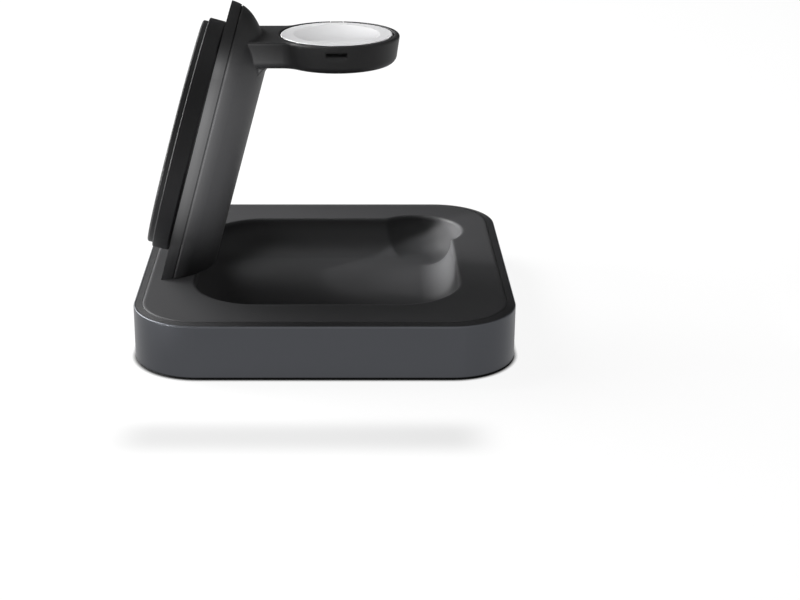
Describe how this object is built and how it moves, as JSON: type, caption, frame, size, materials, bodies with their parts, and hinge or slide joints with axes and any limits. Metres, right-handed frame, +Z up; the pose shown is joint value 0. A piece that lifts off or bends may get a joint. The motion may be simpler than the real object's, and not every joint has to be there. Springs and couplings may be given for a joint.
{
  "type": "wireless charger",
  "caption": "Three-in-one wireless charging stand: square base with an earbud dish, leaning post with a round phone puck, and an arm with a tilting watch puck.",
  "frame": {"origin": "middle of the base on the surface it stands on", "axes": "+Z up, +X from the phone side towards the arm and the inlet, +Y across the base"},
  "size_m": [0.0904, 0.0904, 0.079],
  "materials": {
    "anodised_band": "dark grey anodised, satin",
    "rim_plastic": "fine matt",
    "soft_touch": "soft-touch matt",
    "under_plastic": "fine texture",
    "foot_rubber": "matt",
    "post_plastic": "soft matt",
    "puck_plastic": "soft matt",
    "puck_silicone": "silky matt",
    "white_gloss": "gloss",
    "steel": "plain",
    "copper": "enamelled wire",
    "ferrite": "matt sintered",
    "board": "solder mask",
    "chip": "moulded"
  },
  "bodies": {
    "stand": {"base_band": "anodised_band", "trim_ring": "rim_plastic", "top_tray": "soft_touch", "bottom_plate": "under_plastic", "rubber_feet": "foot_rubber", "base_screws": "steel", "ballast_plate": "steel", "earbud_ferrite": "ferrite", "earbud_coil": "copper", "main_board": "board", "board_chips": "chip", "board_screws": "steel", "inlet_shell": "steel", "inlet_tongue": "chip", "post_shell": "post_plastic", "post_front_plate": "post_plastic", "post_spine": "steel", "spine_screws": "steel", "post_screws": "steel", "puck_collar": "puck_plastic", "puck_face": "puck_silicone", "phone_coil": "copper", "phone_ferrite": "ferrite", "phone_shield": "steel", "phone_magnets": "steel", "collar_screws": "steel", "hinge_pin": "steel"},
    "watch_puck": {"watch_housing": "post_plastic", "watch_face": "white_gloss", "watch_coil": "copper", "watch_ferrite": "ferrite", "watch_magnet": "steel"}
  },
  "joints": [
    {"name": "watch_tilt", "type": "hinge", "parent": "stand", "child": "watch_puck", "pos_m": [0.0028, 0.0144, 0.0705], "axis": [-1, 0, 0], "range_deg": [0, 90]}
  ]
}
